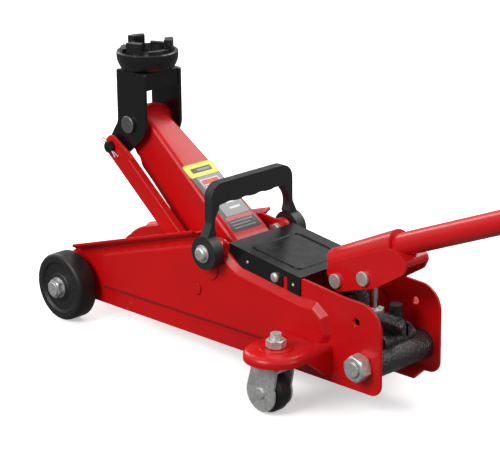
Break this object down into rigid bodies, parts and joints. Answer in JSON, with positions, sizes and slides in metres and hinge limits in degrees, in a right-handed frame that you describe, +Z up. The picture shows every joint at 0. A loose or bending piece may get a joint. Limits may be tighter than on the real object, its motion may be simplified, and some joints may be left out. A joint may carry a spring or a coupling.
{
  "type": "hydraulic trolley jack",
  "caption": "Low four-wheeled hydraulic floor jack: red side plates, lift arm with level saddle, pump socket with handle, carrying handle and swivel casters.",
  "frame": {"origin": "centre of the bounding box in plan, on the floor under the wheels", "axes": "+X from the saddle end to the handle end, +Y to the jack's right-hand side, +Z up"},
  "size_m": [0.8604, 0.223, 0.3435],
  "materials": {
    "red_paint": "glossy red paint on pressed steel sheet",
    "handle_paint": "glossy red paint on tube and folded sheet",
    "black_paint": "satin black paint",
    "saddle_iron": "cast iron with satin black paint",
    "unit_casting": "sand cast, glossy black paint",
    "wheel_iron": "cast wheel, satin black paint, hammered face",
    "caster_tread": "moulded caster wheel",
    "zinc": "bright zinc plate",
    "dark_pin": "black oxide steel",
    "spring_steel": "oiled spring steel",
    "chrome": "hard chrome, ground",
    "carry_plastic": "ribbed black plastic",
    "grip_rubber": "ribbed black rubber"
  },
  "bodies": {
    "chassis": {"side_plate_left": "red_paint", "side_plate_right": "red_paint", "cover_stud_left": "zinc", "cover_stud_right": "zinc", "front_axle_left": "zinc", "front_axle_right": "zinc", "axle_washer_left": "zinc", "axle_washer_right": "zinc", "axle_nut_left": "zinc", "axle_nut_right": "zinc", "link_stub_left": "dark_pin", "link_stub_right": "dark_pin", "carry_bolt_left": "zinc", "carry_bolt_right": "zinc", "caster_bracket_left": "red_paint", "caster_bracket_right": "red_paint", "return_spring_left": "spring_steel", "return_spring_right": "spring_steel", "trunnion_nut_left": "zinc", "trunnion_nut_right": "zinc", "top_cover": "black_paint", "main_shaft": "dark_pin", "front_tie": "red_paint", "power_unit": "unit_casting", "reservoir_tube": "unit_casting", "cylinder_gland": "unit_casting", "pump_gland": "zinc", "filler_plug": "dark_pin", "trunnion_stud": "zinc"},
    "lift_arm": {"lift_arm": "red_paint", "ram_pin": "dark_pin"},
    "saddle_bracket": {"saddle_bracket": "black_paint", "saddle_pin": "dark_pin"},
    "saddle": {"saddle": "saddle_iron", "saddle_ring": "saddle_iron"},
    "link_rods": {"link_rod_left": "red_paint", "link_rod_right": "red_paint", "link_pin": "dark_pin", "split_pin": "zinc"},
    "ram": {"ram": "chrome"},
    "socket": {"handle_socket": "handle_paint", "socket_pivot_pin": "zinc", "pump_pin": "zinc"},
    "handle": {"handle_tube": "handle_paint", "handle_grip": "grip_rubber"},
    "plunger": {"plunger": "chrome"},
    "release_valve": {"release_valve": "zinc"},
    "carry_handle": {"carry_handle": "carry_plastic"},
    "front_wheel_left": {"front_wheel_left": "wheel_iron"},
    "front_wheel_right": {"front_wheel_right": "wheel_iron"},
    "caster_left": {"caster_fork_left": "zinc", "caster_axle_left": "zinc", "caster_nut_left": "zinc"},
    "caster_right": {"caster_fork_right": "zinc", "caster_axle_right": "zinc", "caster_nut_right": "zinc"},
    "caster_wheel_left": {"caster_wheel_left": "caster_tread"},
    "caster_wheel_right": {"caster_wheel_right": "caster_tread"}
  },
  "joints": [
    {"name": "arm_lift", "type": "hinge", "parent": "chassis", "child": "lift_arm", "pos_m": [-0.19528, 0, 0.0975], "axis": [0, 1, 0], "range_deg": [-53.2, 13.3], "deforming": ["return_spring_left", "return_spring_right"]},
    {"name": "bracket_level", "type": "hinge", "parent": "lift_arm", "child": "saddle_bracket", "pos_m": [-0.33178, 0, 0.2068], "axis": [0, 1, 0], "range_deg": [-13.4, 53.3]},
    {"name": "link_swing", "type": "hinge", "parent": "chassis", "child": "link_rods", "pos_m": [-0.21478, 0, 0.073], "axis": [0, 1, 0], "range_deg": [-53.3, 13.4]},
    {"name": "saddle_spin", "type": "hinge", "parent": "saddle_bracket", "child": "saddle", "pos_m": [-0.32978, 0, 0.2595], "axis": [0, 0, 1], "continuous": true},
    {"name": "ram_slide", "type": "slide", "parent": "chassis", "child": "ram", "axis": [-1, 0, 0], "range_m": [-0.0404, 0.0102]},
    {"name": "handle_pump", "type": "hinge", "parent": "chassis", "child": "socket", "pos_m": [-0.06278, 0, 0.1105], "axis": [0, -1, 0], "range_deg": [-12, 22]},
    {"name": "plunger_slide", "type": "slide", "parent": "chassis", "child": "plunger", "axis": [0, 0, 1], "range_m": [-0.0067, 0.0122]},
    {"name": "handle_slide", "type": "slide", "parent": "socket", "child": "handle", "axis": [0.9239, 0, 0.3827], "range_m": [0, 0.024]},
    {"name": "release_turn", "type": "hinge", "parent": "chassis", "child": "release_valve", "pos_m": [0.00222, -0.002, 0.08], "axis": [1, 0, 0], "range_deg": [0, 540]},
    {"name": "carry_fold", "type": "hinge", "parent": "chassis", "child": "carry_handle", "pos_m": [-0.18978, 0, 0.117], "axis": [0, 1, 0], "range_deg": [-10, 68]},
    {"name": "front_wheel_spin_left", "type": "hinge", "parent": "chassis", "child": "front_wheel_left", "pos_m": [-0.39578, -0.05805, 0.0344], "axis": [0, 1, 0], "continuous": true},
    {"name": "caster_swivel_left", "type": "hinge", "parent": "chassis", "child": "caster_left", "pos_m": [-0.07228, -0.082, 0.046], "axis": [0, 0, 1], "continuous": true},
    {"name": "caster_wheel_spin_left", "type": "hinge", "parent": "caster_left", "child": "caster_wheel_left", "pos_m": [-0.08078, -0.082, 0.02], "axis": [0, 1, 0], "continuous": true},
    {"name": "front_wheel_spin_right", "type": "hinge", "parent": "chassis", "child": "front_wheel_right", "pos_m": [-0.39578, 0.05805, 0.0344], "axis": [0, 1, 0], "continuous": true},
    {"name": "caster_swivel_right", "type": "hinge", "parent": "chassis", "child": "caster_right", "pos_m": [-0.07228, 0.082, 0.046], "axis": [0, 0, 1], "continuous": true},
    {"name": "caster_wheel_spin_right", "type": "hinge", "parent": "caster_right", "child": "caster_wheel_right", "pos_m": [-0.08078, 0.082, 0.02], "axis": [0, 1, 0], "continuous": true}
  ],
  "couplings": [
    {"joint": "bracket_level", "follows": "arm_lift", "ratio": -1},
    {"joint": "link_swing", "follows": "arm_lift", "ratio": 1},
    {"joint": "ram_slide", "follows": "arm_lift", "m_per_rad": 0.0433},
    {"joint": "plunger_slide", "follows": "handle_pump", "m_per_rad": 0.0315}
  ]
}
